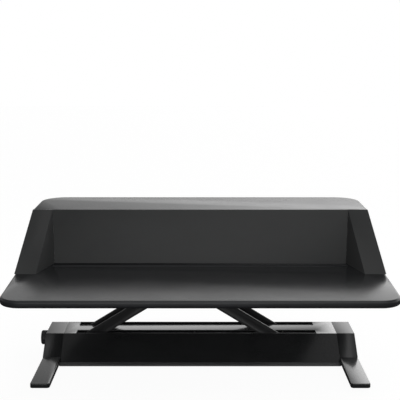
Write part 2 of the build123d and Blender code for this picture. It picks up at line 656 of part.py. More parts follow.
def make_carriages():
    """Axles, their rollers and the yoke that the lift springs pull on."""
    lower_half = OUTER_ARM_Y + ARM_HALF + 1.0
    lower_axle = rod_y(RIGHT_PIVOT_X, LOWER_PIVOT_Z, SHAFT_R, LIFT_Y - lower_half, LIFT_Y + lower_half)
    upper_half = OUTER_ARM_Y + ROLLER_WIDTH / 2 + 0.5
    upper_axle = rod_y(RIGHT_PIVOT_X, UPPER_PIVOT_Z, SHAFT_R, LIFT_Y - upper_half, LIFT_Y + upper_half)
    upper_clip_y = INNER_ARM_Y - ARM_HALF - CLIP_GAP - CLIP_THICK
    lower_clip_y = LOWER_ROLLER_OUT - ROLLER_WIDTH - ROLLER_GAP - CLIP_THICK
    y0 = LIFT_Y - YOKE_HALF
    y1 = LIFT_Y + YOKE_HALF
    yoke = block(RIGHT_PIVOT_X - 2 * YOKE_HALF, RIGHT_PIVOT_X + 2 * YOKE_HALF, y0, y1,
                 SPRING_Z - YOKE_HALF, LOWER_PIVOT_Z)
    yoke = yoke + rod_y(RIGHT_PIVOT_X, LOWER_PIVOT_Z, SHAFT_R + HUB_WALL, y0, y1)
    yoke = yoke + hook_bar(RIGHT_PIVOT_X) - rod_y(RIGHT_PIVOT_X, LOWER_PIVOT_Z, SHAFT_R, y0 - 1, y1 + 1)
    lower_roller = roller(RIGHT_PIVOT_X, LOWER_PIVOT_Z, LIFT_Y - LOWER_ROLLER_OUT)
    upper_roller = roller(RIGHT_PIVOT_X, UPPER_PIVOT_Z, LIFT_Y - OUTER_ARM_Y - ROLLER_WIDTH / 2)
    return {
        "lower_axle": lower_axle,
        "spring_yoke": yoke,
        "lower_axle_clips": clips(RIGHT_PIVOT_X, LOWER_PIVOT_Z, SHAFT_R, lower_clip_y),
        "upper_axle": upper_axle,
        "upper_axle_clips": clips(RIGHT_PIVOT_X, UPPER_PIVOT_Z, SHAFT_R, upper_clip_y),
        "lower_roller_front": lower_roller,
        "lower_roller_rear": flip_lift(lower_roller),
        "upper_roller_front": upper_roller,
        "upper_roller_rear": flip_lift(upper_roller),
    }


# ---- Base ---------------------------------------------------------------------------------------
def lift_slot(wall):
    """Front slot for the arms, wider by wall all round, as a cutting block."""
    x0 = LOWER_PIVOT_X - SLOT_END_GAP - SLOT_LEFT_SPARE
    x1 = TRAVEL_LOW_X + SLOT_END_GAP
    return block(x0 - wall, x1 + wall, LIFT_Y - SLOT_OUTER - wall, LIFT_Y - SLOT_INNER + wall,
                 BASE_TOP_Z - 8.0, BASE_TOP_Z + 8.0)


def box_section(inset, floor):
    """The base's closed side outline with every face moved in by inset."""
    slope = math.atan2(BASE_TOP_Z - PLATE_TOP_Z, BASE_TOP_FRONT_Y - BASE_FRONT_Y)
    shift = inset / math.sin(slope)
    top = BASE_TOP_Z - inset
    run = (top - PLATE_TOP_Z) / math.tan(slope)
    low_run = (floor - PLATE_TOP_Z) / math.tan(slope)
    return [(BASE_FRONT_Y + shift + low_run, floor), (BASE_FRONT_Y + shift + run, top),
            (BASE_TOP_BACK_Y - inset, top), (BASE_BACK_Y - inset, top - 10.0), (BASE_BACK_Y - inset, floor)]


def make_base_cover():
    """Bent steel cover with a slot for each pair of arms."""
    outer = side_profile(box_section(0, PLATE_TOP_Z), -BASE_HALF, BASE_HALF)
    bends = [edge for edge in outer.edges() if edge.length > BASE_HALF and edge.center().Z > PLATE_TOP_Z + 1]
    outer = fillet(bends, 3.0)
    inner = side_profile(box_section(COVER_SHEET, PLATE_TOP_Z - 1.0), -BASE_HALF - 1, BASE_HALF + 1)
    slot = lift_slot(SLOT_TRIM_WALL)
    return outer - inner - slot - flip_lift(slot)


def make_slot_trim():
    """Moulded liner of the front slot, standing a little proud of the cover."""
    frame = lift_slot(SLOT_TRIM_WALL) - lift_slot(0)
    band = block(-BASE_HALF, BASE_HALF, 0, LIFT_Y, BASE_TOP_Z - COVER_SHEET - 1.0,
                 BASE_TOP_Z + SLOT_TRIM_RISE)
    return frame & band


def make_end_cap():
    """Right-hand moulded end cap, hollow, standing on the foot."""
    outer = side_profile(box_section(0, FOOT_TOP_Z), BASE_HALF, BASE_HALF + CAP_WIDTH)
    bends = [edge for edge in outer.edges() if edge.length > CAP_WIDTH - 1
             and abs(edge.length - CAP_WIDTH) < 0.1 and edge.center().Z > FOOT_TOP_Z + 1]
    outer = fillet(bends, 3.0)
    inner = side_profile(box_section(CAP_WALL, FOOT_TOP_Z - 1.0), BASE_HALF - 1,
                         BASE_HALF + CAP_WIDTH - CAP_WALL)
    return outer - inner


def make_foot():
    """Right-hand foot: a flat bar with rounded corners."""
    x0 = BASE_HALF
    x1 = BASE_HALF + CAP_WIDTH
    bar = block(x0, x1, FOOT_FRONT_Y, FOOT_BACK_Y, PAD_THICK, FOOT_TOP_Z)
    uprights = [edge for edge in bar.edges() if abs(edge.length - FOOT_THICK) < 0.01]
    bar = fillet(uprights, 7.0)
    return chamfer(bar.faces().sort_by(Axis.Z)[-1].edges(), 1.2)


def make_pads():
    """Four rubber pads, one under each end of each foot."""
    x = BASE_HALF + CAP_WIDTH / 2
    pads = []
    for y0 in (FOOT_FRONT_Y + 8.0, FOOT_BACK_Y - 8.0 - PAD_LENGTH):
        pad = block(x - PAD_WIDTH / 2, x + PAD_WIDTH / 2, y0, y0 + PAD_LENGTH, 0, PAD_THICK)
        pads += [pad, flip_x(pad)]
    return group(pads)


def make_base_plate():
    """Floor plate of the base, whose rounded front edge stands out as a lip."""
    plate = block(-BASE_HALF, BASE_HALF, PLATE_LIP_Y, BASE_BACK_Y, PLATE_BOTTOM_Z, PLATE_TOP_Z)
    ends = [edge for edge in plate.edges() if abs(edge.length - PLATE_THICK) < 0.01
            and edge.center().Y < PLATE_LIP_Y + 1]
    return fillet(ends, 3.0)


def make_lower_rail():
    """Front channel that the lower rollers run in."""
    web_y = LIFT_Y - LOWER_ROLLER_OUT - WEB_GAP
    floor = LOWER_PIVOT_Z - ROLLER_R - ROLLER_GAP
    roof = LOWER_PIVOT_Z + ROLLER_R + ROLLER_GAP
    web = block(RAIL_X0, RAIL_X1, web_y - RAIL_SHEET, web_y, PLATE_TOP_Z, roof + RAIL_SHEET)
    axle_way = block(RAIL_X0 + 4.0, RAIL_X1 - 4.0, web_y - RAIL_SHEET - 1, web_y + 1,
                     LOWER_PIVOT_Z - SHAFT_R - 1.0, LOWER_PIVOT_Z + SHAFT_R + 1.0)
    track = block(RAIL_X0, RAIL_X1, web_y, web_y + ROLLER_WIDTH, floor - RAIL_SHEET, floor)
    keeper = block(RAIL_X0, RAIL_X1, web_y, web_y + ROLLER_WIDTH, roof, roof + RAIL_SHEET)
    return web + track + keeper - axle_way


def make_lower_pivot_bracket():
    """Bracket on the base plate whose ears hold the fixed lower pivot shaft."""
    bracket = block(LOWER_PIVOT_X - EAR_R - 4.0, LOWER_PIVOT_X + EAR_R + 4.0, LIFT_Y - LOWER_EAR_OUT,
                    LIFT_Y + LOWER_EAR_OUT, PLATE_TOP_Z, PLATE_TOP_Z + RAIL_SHEET)
    for sign in (-1, 1):
        y0, y1 = sorted((LIFT_Y + sign * LOWER_EAR_IN, LIFT_Y + sign * LOWER_EAR_OUT))
        bracket = bracket + block(LOWER_PIVOT_X - EAR_R, LOWER_PIVOT_X + EAR_R, y0, y1, PLATE_TOP_Z,
                                  LOWER_PIVOT_Z)
        bracket = bracket + rod_y(LOWER_PIVOT_X, LOWER_PIVOT_Z, EAR_R, y0, y1)
    half = LOWER_EAR_OUT + 1
    return bracket - rod_y(LOWER_PIVOT_X, LOWER_PIVOT_Z, SHAFT_R, LIFT_Y - half, LIFT_Y + half)


def make_screw_bracket():
    """Upright plate that the tension screw turns in."""
    x0 = -BASE_HALF
    half = SCREW_BRACKET_HALF
    plate = block(x0, x0 + SHEET, LIFT_Y - half, LIFT_Y + half, PLATE_TOP_Z, SCREW_Z + 14.0)
    tab = block(x0, x0 + 12.0, LIFT_Y - half - 8.0, LIFT_Y - half, PLATE_TOP_Z, PLATE_TOP_Z + SHEET)
    plate = plate + tab + flip_lift(tab)
    return plate - rod_x(LIFT_Y, SCREW_Z, SCREW_R + RUNNING_GAP, x0 - 1, x0 + SHEET + 1)


def base_screw_points():
    """Where the heads of the base's screws seat: the plate's corners and the pivot bracket's foot."""
    points = []
    for x in (-BASE_HALF + 20.0, BASE_HALF - 20.0):
        for y in (PLATE_LIP_Y + 30.0, BASE_BACK_Y - 20.0):
            points.append((x, y, PLATE_TOP_Z))
    for x in (LOWER_PIVOT_X - 10.0, LOWER_PIVOT_X + 10.0):
        for y in (LIFT_Y - LOWER_EAR_IN + 8.8, LIFT_Y + LOWER_EAR_IN - 8.8):
            points.append((x, y, PLATE_TOP_Z + RAIL_SHEET))
    return points


def make_base():
    """Everything that stays on the desk."""
    screws = [screw(x, y, z, up=False, shank=z - PLATE_BOTTOM_Z) for x, y, z in base_screw_points()]
    cap = make_end_cap()
    knob_way = rod_x(LIFT_Y, SCREW_Z, SCREW_R + 1.0, -OVERALL_WIDTH, -BASE_HALF)
    foot = make_foot()
    trim = make_slot_trim()
    shaft_half = LOWER_EAR_OUT + SHAFT_END
    shaft = rod_y(LOWER_PIVOT_X, LOWER_PIVOT_Z, SHAFT_R, LIFT_Y - shaft_half, LIFT_Y + shaft_half)
    return {
        "base_plate": cut_all(make_base_plate(), screws),
        "base_cover": make_base_cover(),
        "end_cap_left": flip_x(cap) - knob_way,
        "end_cap_right": cap,
        "foot_left": flip_x(foot),
        "foot_right": foot,
        "foot_pads": make_pads(),
        "slot_trim_front": trim,
        "slot_trim_rear": flip_lift(trim),
        "lower_rails": group(both_sides(make_lower_rail())),
        "lower_pivot_bracket": cut_all(make_lower_pivot_bracket(), screws),
        "lower_pivot_shaft": shaft,
        "lower_pivot_clips": clips(LOWER_PIVOT_X, LOWER_PIVOT_Z, SHAFT_R, LOWER_EAR_OUT),
        "screw_bracket": make_screw_bracket(),
        "base_screws": group(screws),
    }


# ---- Lift springs and tension screw -------------------------------------------------------------
def make_knob():
    """Fluted knob on the left end of the tension screw."""
    x1 = KNOB_INNER_X
    x0 = x1 - KNOB_LENGTH
    knob = rod_x(LIFT_Y, SCREW_Z, KNOB_R, x0, x1)
    knob = chamfer(knob.faces().sort_by(Axis.X)[0].edges(), 2.0)
    for step in range(KNOB_FLUTES):
        angle = 2 * math.pi * step / KNOB_FLUTES
        y = LIFT_Y + (KNOB_R + 0.4) * math.cos(angle)
        z = SCREW_Z + (KNOB_R + 0.4) * math.sin(angle)
        knob = knob - rod_x(y, z, FLUTE_R, x0 - 1, x1 + 1)
    dish = rod_x(LIFT_Y, SCREW_Z, KNOB_R - 6.0, x0 - 1, x0 + 1.2)
    return knob - dish - rod_x(LIFT_Y, SCREW_Z, SCREW_R, x1 - KNOB_BORE, x1 + 1)


def make_lead_screw():
    """Tension screw with a collar that bears on the outside of its bracket."""
    x1 = NUT_X + NUT_LENGTH / 2 + 8.0
    bar = rod_x(LIFT_Y, SCREW_Z, SCREW_R, KNOB_INNER_X - KNOB_BORE, x1)
    collar_x = -BASE_HALF - WEB_GAP
    return bar + rod_x(LIFT_Y, SCREW_Z, SCREW_R + HUB_WALL, collar_x - SHEET, collar_x)


def make_spring_anchor():
    """Nut block on the tension screw with a bar for the springs' hooks."""
    x0 = NUT_X - NUT_LENGTH / 2
    x1 = NUT_X + NUT_LENGTH / 2
    nut = block(x0, x1, LIFT_Y - 9.0, LIFT_Y + 9.0, SPRING_Z - YOKE_HALF, SCREW_Z + 9.0)
    return nut + hook_bar(NUT_X) - rod_x(LIFT_Y, SCREW_Z, SCREW_R + THREAD_GAP, x0 - 1, x1 + 1)


def make_spring():
    """Front extension spring: closed coil body with a hook wire and eye at each end."""
    y = LIFT_Y - SPRING_Y
    eye_r = HOOK_BAR_R + HOOK_GAP + SPRING_WIRE / 2
    x0 = NUT_X + SPRING_HOOK
    x1 = RIGHT_PIVOT_X - SPRING_HOOK
    coil = rod_x(y, SPRING_Z, SPRING_R, x0, x1)
    spring = coil - rod_x(y, SPRING_Z, SPRING_R - SPRING_WIRE, x0 + SPRING_WIRE, x1 - SPRING_WIRE)
    for centre, end in ((NUT_X, x0), (RIGHT_PIVOT_X, x1)):
        eye = Pos(centre, y, SPRING_Z) * Rot(90, 0, 0) * Torus(eye_r, SPRING_WIRE / 2)
        sign = 1 if end > centre else -1
        low, high = sorted((centre + sign * eye_r, end))
        spring = spring + eye + rod_x(y, SPRING_Z, SPRING_WIRE / 2, low, high)
    return spring


# ---- Lock ---------------------------------------------------------------------------------------
def make_paddle():
    """Right-hand squeeze paddle on the end of the release rod."""
    half = PADDLE_THICK / 2
    tip_z = ROD_Z - PADDLE_DROP
    x0 = PADDLE_X - PADDLE_WIDTH / 2
    x1 = PADDLE_X + PADDLE_WIDTH / 2
    blade = side_profile([(ROD_Y, ROD_Z + half), (ROD_Y, ROD_Z - half), (PADDLE_TIP_Y, tip_z - half),
                          (PADDLE_TIP_Y - 6.0, tip_z), (PADDLE_TIP_Y, tip_z + half)], x0, x1)
    hub = rod_x(ROD_Y, ROD_Z, ROD_R + HUB_WALL, x0, x1)
    return blade + hub - rod_x(ROD_Y, ROD_Z, ROD_R, x0 - 1, ROD_END_X)


def make_brake_shoe():
    """Shoe that bears on the brake sector, on an arm from the release rod."""
    brake = math.radians(BRAKE_ANGLE)
    radius = (SECTOR_INNER + SECTOR_OUTER) / 2
    x = LOWER_PIVOT_X + radius * math.cos(brake)
    z = UPPER_PIVOT_Z - radius * math.sin(brake)
    y1 = LIFT_Y - OUTER_ARM_Y - ARM_HALF - SECTOR_THICK - BRAKE_GAP
    half = SHOE_SIZE / 2
    shoe = block(x - half, x + half, y1 - SHOE_THICK, y1, z - half, z + half)
    arm = side_profile([(ROD_Y - 3.0, ROD_Z), (ROD_Y + 3.0, ROD_Z), (y1 - SHOE_THICK / 2, z + half),
                        (y1 - SHOE_THICK / 2, z), (y1 - SHOE_THICK, z)], x - 2.5, x + 2.5)
    hub = rod_x(ROD_Y, ROD_Z, ROD_R + HUB_WALL, x - half, x + half)
    return shoe + arm + hub - rod_x(ROD_Y, ROD_Z, ROD_R, x - SHOE_SIZE, x + SHOE_SIZE)


def make_mechanisms():
    """Tension screw, springs and lock."""
    spring = make_spring()
    paddle = make_paddle()
    return {
        "tension_knob": make_knob(),
        "lead_screw": make_lead_screw(),
        "spring_anchor": make_spring_anchor(),
        "extension_springs": group(both_sides(spring)),
        "release_rod": rod_x(ROD_Y, ROD_Z, ROD_R, -ROD_END_X, ROD_END_X),
        "paddle_left": flip_x(paddle),
        "paddle_right": paddle,
        "brake_shoe": make_brake_shoe(),
    }


def main():
    """Build every piece and write one STEP file for each."""
    os.makedirs("parts", exist_ok=True)
    pieces = {}
    makers = (make_platform, make_inner_arms, make_outer_arms, make_carriages, make_base, make_mechanisms)
    for make in makers:
        pieces.update(make())
    for name, piece in pieces.items():
        export_step(piece, f"parts/{name}.step")
    print(f"{len(pieces)} pieces; worktop {WORKTOP_Z:.1f}, shelf {SHELF_TOP_Z:.1f} above the desk")


main()
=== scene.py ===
"""Looks of a standing desk converter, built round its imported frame.

A scissor lift in a low black base carries a worktop with a raised monitor shelf. The frame gives every
place and size; this file gives each piece its finish, its softened edges and its small parts. Metres.
"""
import json
import logging
import math
from dataclasses import dataclass
from enum import Enum

import bmesh
import bpy
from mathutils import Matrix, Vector

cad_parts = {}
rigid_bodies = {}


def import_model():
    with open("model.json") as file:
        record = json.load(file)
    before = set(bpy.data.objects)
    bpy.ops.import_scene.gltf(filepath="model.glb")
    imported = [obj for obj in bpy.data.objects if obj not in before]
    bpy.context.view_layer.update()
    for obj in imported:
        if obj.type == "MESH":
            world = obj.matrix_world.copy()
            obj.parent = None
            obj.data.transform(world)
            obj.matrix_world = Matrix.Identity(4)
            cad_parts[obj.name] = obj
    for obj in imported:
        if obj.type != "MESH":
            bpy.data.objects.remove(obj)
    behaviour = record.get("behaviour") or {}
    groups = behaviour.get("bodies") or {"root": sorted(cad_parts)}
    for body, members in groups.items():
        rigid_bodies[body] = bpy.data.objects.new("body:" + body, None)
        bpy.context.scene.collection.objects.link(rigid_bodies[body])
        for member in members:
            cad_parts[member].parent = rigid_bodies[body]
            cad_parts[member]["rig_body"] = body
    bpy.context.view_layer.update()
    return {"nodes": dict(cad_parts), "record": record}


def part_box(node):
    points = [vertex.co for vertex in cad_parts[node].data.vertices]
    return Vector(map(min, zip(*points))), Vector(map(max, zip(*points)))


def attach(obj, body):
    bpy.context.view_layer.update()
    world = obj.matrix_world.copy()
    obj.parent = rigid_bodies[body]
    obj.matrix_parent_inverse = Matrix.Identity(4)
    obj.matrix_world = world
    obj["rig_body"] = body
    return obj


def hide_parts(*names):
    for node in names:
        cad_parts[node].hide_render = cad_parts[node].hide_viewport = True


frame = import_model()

LOG = logging.getLogger("desk_converter")
MM = 0.001
SHARP_ANGLE = math.radians(35)
BEVEL_ANGLE = math.radians(28)
FLAT_ANGLE = math.radians(0.4)
CLOUD_MM = 90.0
TURN_STEPS = 14
EYE_STEPS = 20
SCREW_SEED = 7
# Domes as shares of radius and height, from the foot's middle over the rim to the top's middle.
PIVOT_DOME = ((0, 0), (1, 0), (1, 0.35), (0.94, 0.62), (0.7, 0.88), (0.35, 1), (0, 1.02))
SCREW_DOME = ((0, 0), (1, 0), (1, 0.3), (0.93, 0.62), (0.74, 0.88), (0.45, 1), (0, 1))


# ---- Colour and node helpers ----------------------------------------------------------------------
def linear(hex_colour: str) -> tuple[float, float, float, float]:
    """Turn an sRGB hex colour into linear light.

    Args:
        hex_colour: Six hexadecimal digits, with or without a leading hash.

    Returns:
        Linear red, green and blue, and an alpha of 1.
    """
    digits = hex_colour.lstrip("#")
    values = []
    for start in (0, 2, 4):
        part = int(digits[start:start + 2], 16) / 255
        values.append(part / 12.92 if part <= 0.04045 else ((part + 0.055) / 1.055) ** 2.4)
    return (*values, 1.0)


def add(tree: bpy.types.NodeTree, kind: str, settings: dict | None = None,
        inputs: dict | None = None) -> bpy.types.Node:
    """Add a node with its settings and links.

    Args:
        tree: Tree that gets the node.
        kind: Blender's type name of the node.
        settings: Attributes to set on the node.
        inputs: Socket name or number to a constant, or to another node's output socket.

    Returns:
        The new node.
    """
    node = tree.nodes.new(kind)
    for key, value in (settings or {}).items():
        setattr(node, key, value)
    for key, value in (inputs or {}).items():
        socket = node.inputs[key]
        if isinstance(value, bpy.types.NodeSocket):
            tree.links.new(value, socket)
        else:
            socket.default_value = value
    return node


# ---- Finishes -------------------------------------------------------------------------------------
class Surface(Enum):
    """How a surface was made, which decides its fine texture."""

    LAMINATE = "pressed melamine laminate"
    POWDER_COAT = "baked powder coat"
    MOULDED = "spark-textured moulding"
    ZINC = "zinc plating"
    GROUND = "ground bar"
    TURNED_NYLON = "turned nylon"
    RUBBER = "pressed rubber"


@dataclass(frozen=True)
class Finish:
    """One finish: a real material, how it was made and what that gives the eye."""

    slot: str
    surface: Surface
    colour: str
    tint: str
    roughness: float
    metallic: float = 0.0
    grain_mm: float = 1.0
    relief_mm: float = 0.02
    specular: float = 0.5
    coat: float = 0.0
    coat_roughness: float = 0.16
    stretch: tuple[float, float, float] = (1.0, 1.0, 1.0)

    def build(self) -> bpy.types.Material:
        """Build the material.

        Returns:
            A node material that reads Object coordinates in metres.
        """
        material = bpy.data.materials.new(self.slot)
        material.use_nodes = True
        tree = material.node_tree
        shader = tree.nodes["Principled BSDF"]
        shader.inputs["Metallic"].default_value = self.metallic
        shader.inputs["Specular IOR Level"].default_value = self.specular
        shader.inputs["Coat Weight"].default_value = self.coat
        shader.inputs["Coat Roughness"].default_value = self.coat_roughness
        place = add(tree, "ShaderNodeTexCoord").outputs["Object"]
        grain = self.grain(tree, place)
        cloud = add(tree, "ShaderNodeTexNoise", inputs={
            "Vector": place, "Scale": 1 / (CLOUD_MM * MM), "Detail": 4.0, "Roughness": 0.6}).outputs["Fac"]
        self.paint(tree, shader, grain, cloud)
        self.polish(tree, shader, grain, cloud)
        bump = add(tree, "ShaderNodeBump", inputs={
            "Height": grain, "Distance": self.relief_mm * MM, "Strength": 1.0})
        tree.links.new(bump.outputs["Normal"], shader.inputs["Normal"])
        return material

    def grain(self, tree: bpy.types.NodeTree, place: bpy.types.NodeSocket) -> bpy.types.NodeSocket:
        """Make the fine pattern of the surface.

        Args:
            tree: The material's tree.
            place: Object coordinates.

        Returns:
            A value from 0 to 1 that drives relief, colour and polish.
        """
        size = 1 / (self.grain_mm * MM)
        scaled = add(tree, "ShaderNodeMapping", inputs={
            "Vector": place, "Scale": tuple(size * s for s in self.stretch)}).outputs["Vector"]
        noise = add(tree, "ShaderNodeTexNoise", inputs={
            "Vector": scaled, "Scale": 1.0, "Detail": 3.0, "Roughness": 0.55}).outputs["Fac"]
        if self.surface in (Surface.ZINC, Surface.POWDER_COAT):
            cells = add(tree, "ShaderNodeTexVoronoi", inputs={"Vector": scaled, "Scale": 1.6})
            return add(tree, "ShaderNodeMath", {"operation": "MULTIPLY_ADD"}, {
                0: cells.outputs["Distance"], 1: 0.45, 2: noise}).outputs[0]
        return noise

    def paint(self, tree: bpy.types.NodeTree, shader: bpy.types.Node, grain: bpy.types.NodeSocket,
              cloud: bpy.types.NodeSocket) -> None:
        """Colour the surface: its tint gathers where the grain is high and in broad faint clouds.

        Args:
            tree: The material's tree.
            shader: The surface shader.
            grain: The fine pattern.
            cloud: The broad pattern.
        """
        both = add(tree, "ShaderNodeMath", {"operation": "MULTIPLY"}, {0: grain, 1: cloud}).outputs[0]
        share = add(tree, "ShaderNodeMapRange", inputs={
            "Value": both, "From Min": 0.12, "From Max": 0.42}).outputs["Result"]
        mix = add(tree, "ShaderNodeMix", {"data_type": "RGBA"}, {
            "Factor": share, 6: linear(self.colour), 7: linear(self.tint)})
        tree.links.new(mix.outputs[2], shader.inputs["Base Color"])

    def polish(self, tree: bpy.types.NodeTree, shader: bpy.types.Node, grain: bpy.types.NodeSocket,
               cloud: bpy.types.NodeSocket) -> None:
        """Set the roughness, a little duller where hands and grit have been.

        Args:
            tree: The material's tree.
            shader: The surface shader.
            grain: The fine pattern.
            cloud: The broad pattern.
        """
        mixed = add(tree, "ShaderNodeMath", {"operation": "MULTIPLY_ADD"}, {
            0: grain, 1: 0.35, 2: cloud}).outputs[0]
        rough = add(tree, "ShaderNodeMapRange", inputs={
            "Value": mixed, "From Min": 0.4, "From Max": 0.95,
            "To Min": self.roughness * 0.86, "To Max": min(self.roughness * 1.16, 1.0)})
        tree.links.new(rough.outputs["Result"], shader.inputs["Roughness"])


# A black melamine laminate pressed on a satin plate: even, faintly pebbled, a clear sheen at low angles.
WORKTOP_LAMINATE = Finish("worktop_laminate", Surface.LAMINATE, "1b1c1e", "242527", 0.22, grain_mm=1.4,
                          relief_mm=0.012)
# ABS edge band, smoother than the board it wraps; its colour is a shade lighter than the board, a painted
# highlight of the rounded rim.
EDGE_BAND_PAINTED_HIGHLIGHT = Finish("edge_band", Surface.MOULDED, "2b2c2e", "35363a", 0.36, grain_mm=0.9, relief_mm=0.008)
# Powder-coated steel sheet: the fine orange peel breaks up reflections on the panel and pillars.
PANEL = Finish("panel_finish", Surface.POWDER_COAT, "303132", "383939", 0.46, grain_mm=1.1,
               relief_mm=0.02, specular=0.35)
# Moulded liner of the device slot.
SLOT_PLASTIC = Finish("slot_plastic", Surface.MOULDED, "1c1d1f", "26272a", 0.34, grain_mm=0.8)
# Base cover and feet: the same powder coat, a touch glossier, so that it mirrors the bright surroundings.
BASE_PAINT = Finish("base_paint", Surface.POWDER_COAT, "2b2c2d", "343536", 0.2, grain_mm=1.2,
                    relief_mm=0.014, coat=0.9)
# End caps: ABS with a fine spark texture.
BASE_PLASTIC = Finish("base_plastic", Surface.MOULDED, "2c2d2e", "363738", 0.32, grain_mm=0.7,
                      relief_mm=0.02, coat=0.6, coat_roughness=0.26)
# Slot liners, knob and paddles: glass-filled nylon, near black.
TRIM_PLASTIC = Finish("trim_plastic", Surface.MOULDED, "303133", "3a3b3d", 0.36, grain_mm=0.8)
# Scissor arms and brackets: thin satin powder coat on pressed steel.
ARM_PAINT = Finish("arm_paint", Surface.POWDER_COAT, "2b2c2d", "343536", 0.40, grain_mm=1.0,
                   relief_mm=0.016)
# Floor plate: smooth dark grey coat whose folded lip catches the light.
PLATE_PAINT = Finish("steel_light", Surface.POWDER_COAT, "626365", "6c6d6f", 0.42, grain_mm=1.2,
                     relief_mm=0.012)
# Bright zinc on pressed steel, with its faint crystal pattern.
ZINC = Finish("zinc_steel", Surface.ZINC, "8d9196", "a9adb3", 0.38, metallic=1.0, grain_mm=5.0,
              relief_mm=0.01)
# Ground steel bar: fine rings round the shaft, drawn four times coarser than real so that they show.
SHAFT = Finish("shaft_steel", Surface.GROUND, "9c9d9f", "b6b7b9", 0.26, metallic=1.0, grain_mm=14.0,
               relief_mm=0.01, stretch=(1.0, 30.0, 1.0))
# Oiled spring wire, dark and slick.
SPRING_WIRE = Finish("spring_steel", Surface.GROUND, "4a4b4d", "5e5f62", 0.32, metallic=1.0, grain_mm=3.0)
# Black zinc screws.
SCREW_STEEL = Finish("screw_steel", Surface.ZINC, "2a2b2d", "3a3b3e", 0.36, metallic=1.0, grain_mm=2.0)
# Natural nylon, slightly waxy.
NYLON = Finish("nylon", Surface.TURNED_NYLON, "cfcabd", "ddd9cd", 0.42, grain_mm=1.5)
# Pressed rubber, dull and slightly grey.
RUBBER = Finish("rubber", Surface.RUBBER, "151515", "202020", 0.82, grain_mm=0.9, relief_mm=0.05,
                specular=0.25)
FINISHES = (WORKTOP_LAMINATE, EDGE_BAND_PAINTED_HIGHLIGHT, PANEL, SLOT_PLASTIC, BASE_PAINT, BASE_PLASTIC, TRIM_PLASTIC,
            ARM_PAINT, PLATE_PAINT, ZINC, SHAFT, SPRING_WIRE, SCREW_STEEL, NYLON, RUBBER)


# ---- Mesh helpers ---------------------------------------------------------------------------------
def dress(piece: bpy.types.Object, material: bpy.types.Material) -> None:
    """Give a piece one material on all its faces.

    Args:
        piece: Object that gets the material.
        material: The material.
    """
    piece.data.materials.clear()
    piece.data.materials.append(material)


def new_piece(name: str, mesh: bpy.types.Mesh) -> bpy.types.Object:
    """Put a mesh in the scene as an object at the origin.

    Args:
        name: Name of the object.
        mesh: Its mesh.

    Returns:
        The new object.
    """
    piece = bpy.data.objects.new(name, mesh)
    bpy.context.scene.collection.objects.link(piece)
    return piece


def settle(piece: bpy.types.Object) -> bpy.types.Object:
    """Turn a piece with modifiers into a plain mesh.

    Args:
        piece: Object whose modifiers are to be applied.

    Returns:
        The same object, with the evaluated mesh and no modifiers.
    """
    graph = bpy.context.evaluated_depsgraph_get()
    mesh = bpy.data.meshes.new_from_object(piece.evaluated_get(graph), preserve_all_data_layers=True,
                                           depsgraph=graph)
    piece.modifiers.clear()
    piece.data = mesh
    mesh.name = piece.name
    return piece


def island_boxes(node: str) -> list[tuple[Vector, Vector]]:
    """Find the separate solids of a node.

    Args:
        node: Name of a frame node.

    Returns:
        Lowest and highest corner of each solid, sorted by place.
    """
    work = bmesh.new()
    work.from_mesh(frame["nodes"][node].data)
    bmesh.ops.remove_doubles(work, verts=work.verts, dist=1e-6)
    boxes = []
    left = set(work.verts)
    while left:
        queue = [left.pop()]
        found = list(queue)
        while queue:
            for edge in queue.pop().link_edges:
                for vert in edge.verts:
                    if vert in left:
                        left.discard(vert)
                        queue.append(vert)
                        found.append(vert)
        low = Vector([min(v.co[i] for v in found) for i in range(3)])
        high = Vector([max(v.co[i] for v in found) for i in range(3)])
        boxes.append((low, high))
    work.free()
    return sorted(boxes, key=lambda pair: tuple(round(c, 5) for c in pair[0]))


def soften(node: str, edge_mm: float, segments: int = 2) -> bpy.types.Object:
    """Copy a frame node and round its sharp edges, as pressing, moulding and coating leave them.

    Args:
        node: Name of the frame node that the copy stands for.
        edge_mm: Width of the rounding.
        segments: Facets across the rounding.

    Returns:
        The softened copy, which rides on the node's body.
    """
    source = frame["nodes"][node]
    mesh = source.data.copy()
    work = bmesh.new()
    work.from_mesh(mesh)
    bmesh.ops.remove_doubles(work, verts=work.verts, dist=2e-6)
    bmesh.ops.dissolve_limit(work, angle_limit=FLAT_ANGLE, verts=work.verts, edges=work.edges)
    work.to_mesh(mesh)
    work.free()
    piece = new_piece(node + "_shell", mesh)
    bevel = piece.modifiers.new("edges", "BEVEL")
    bevel.width = edge_mm * MM
    bevel.segments = segments
    bevel.limit_method = "ANGLE"
    bevel.angle_limit = BEVEL_ANGLE
    bevel.harden_normals = True
    mesh.shade_smooth()
    settle(piece)
    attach(piece, source["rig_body"])
    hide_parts(node)
    return piece


def lathe(name: str, profile: list[tuple[float, float]], steps: int, axis: Vector,
          foot: Vector) -> bpy.types.Object:
    """Turn a profile about an axis.

    Args:
        name: Name of the piece.
        profile: Pairs of radius and distance along the axis, from one closed end to the other.
        steps: Facets round the axis.
        axis: Direction that the distances run in.
        foot: Point where the distance is nought.

    Returns:
        A closed turned piece.
    """
    work = bmesh.new()
    turn = Vector((0, 0, 1)).rotation_difference(axis).to_matrix()
    rings = []
    for radius, along in profile:
        if radius <= 0:
            rings.append([work.verts.new(foot + turn @ Vector((0, 0, along)))])
            continue
        angles = [2 * math.pi * step / steps for step in range(steps)]
        points = [Vector((radius * math.cos(a), radius * math.sin(a), along)) for a in angles]
        rings.append([work.verts.new(foot + turn @ point) for point in points])
    for low, high in zip(rings, rings[1:]):
        for step in range(steps):
            corners = [low[step % len(low)], low[(step + 1) % len(low)],
                       high[(step + 1) % len(high)], high[step % len(high)]]
            work.faces.new(list(dict.fromkeys(corners)))
    bmesh.ops.recalc_face_normals(work, faces=work.faces)
    mesh = bpy.data.meshes.new(name)
    work.to_mesh(mesh)
    work.free()
    mesh.shade_smooth()
    mesh.set_sharp_from_angle(angle=SHARP_ANGLE)
    return new_piece(name, mesh)


